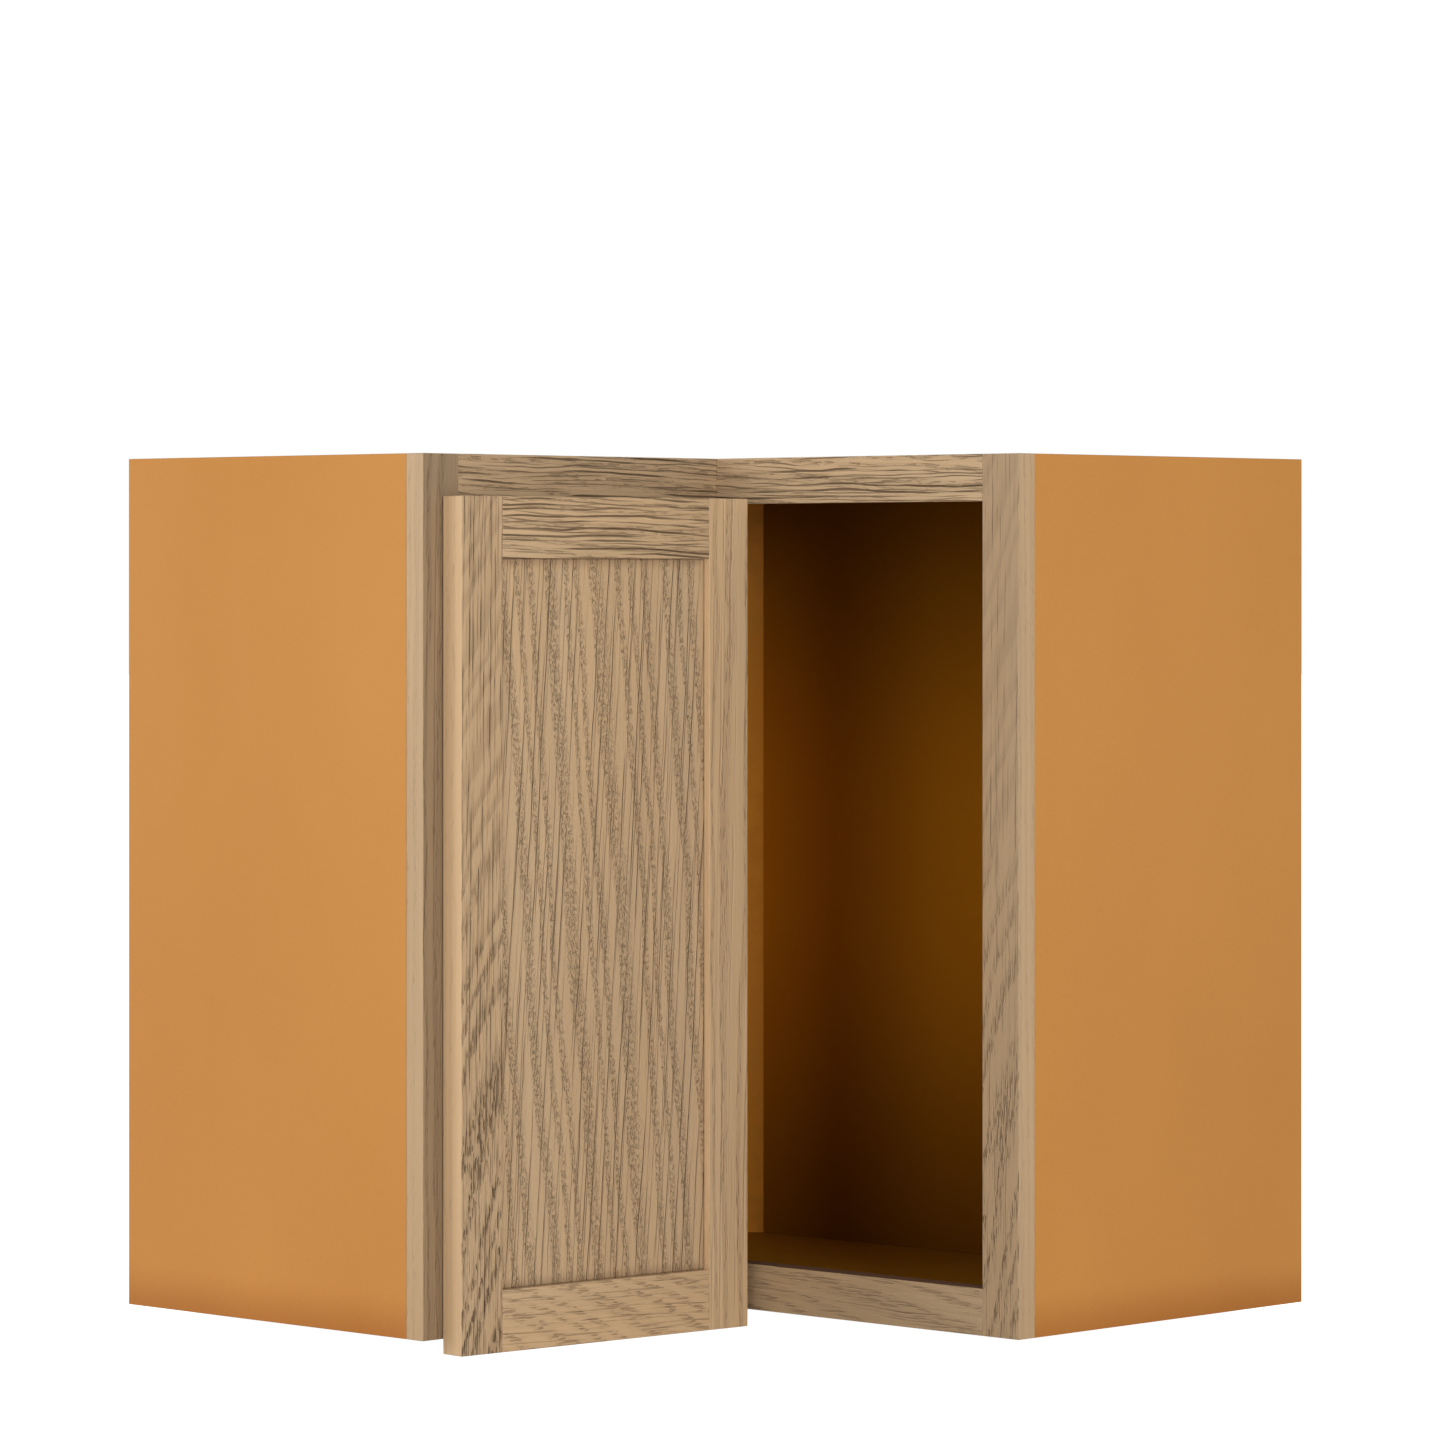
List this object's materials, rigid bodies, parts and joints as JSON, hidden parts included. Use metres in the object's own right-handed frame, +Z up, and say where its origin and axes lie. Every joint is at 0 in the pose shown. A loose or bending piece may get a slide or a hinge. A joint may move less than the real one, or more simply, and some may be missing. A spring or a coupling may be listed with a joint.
{
  "type": "corner wall cabinet",
  "caption": "L-shaped corner wall cabinet: laminated case, oak face frames on two open faces, and a hinged frame-and-panel door on the left face.",
  "frame": {"origin": "the rear corner, where the two wall planes meet, at the level of the cabinet's underside", "axes": "+X along the right wing's wall, -Y along the left wing's wall, +Z up; the left face frame looks along +X and the right face frame along -Y"},
  "size_m": [0.6096, 0.6096, 0.6303],
  "materials": {
    "oak": "satin lacquer over open-pored oak",
    "laminate": "satin laminate on chipboard",
    "interior_board": "satin laminate on chipboard",
    "softwood": "sawn",
    "beech": "turned",
    "plated_steel": "nickel plated",
    "pin_steel": "drawn",
    "screw_steel": "zinc plated",
    "bumper": "soft clear plastic"
  },
  "bodies": {
    "cabinet": {"arm_screws": "screw_steel", "corner_back_panel": "interior_board", "corner_rail_screws": "screw_steel", "floor_panel": "interior_board", "frame_dowels": "beech", "left_back_panel": "interior_board", "left_bottom_rail": "oak", "left_end_panel": "laminate", "left_frame_stile": "oak", "left_top_rail": "oak", "lower_hinge_arm": "plated_steel", "lower_left_hanging_rail": "softwood", "lower_mounting_plate": "plated_steel", "lower_right_hanging_rail": "softwood", "plate_screws": "screw_steel", "right_back_panel": "interior_board", "right_bottom_rail": "oak", "right_end_panel": "laminate", "right_frame_stile": "oak", "right_top_rail": "oak", "top_panel": "interior_board", "upper_hinge_arm": "plated_steel", "upper_left_hanging_rail": "softwood", "upper_mounting_plate": "plated_steel", "upper_right_hanging_rail": "softwood"},
    "door": {"door_hinge_stile": "oak", "door_free_stile": "oak", "door_top_rail": "oak", "door_bottom_rail": "oak", "door_panel": "oak", "door_bumpers": "bumper", "lower_hinge_cup": "plated_steel", "upper_hinge_cup": "plated_steel", "lower_hinge_pin": "pin_steel", "upper_hinge_pin": "pin_steel", "cup_screws": "screw_steel"}
  },
  "joints": [
    {"name": "door_swing", "type": "hinge", "parent": "cabinet", "child": "door", "pos_m": [0.3284, -0.5867, 0.29], "axis": [0, 0, -1], "range_deg": [-4.72, 88]}
  ]
}
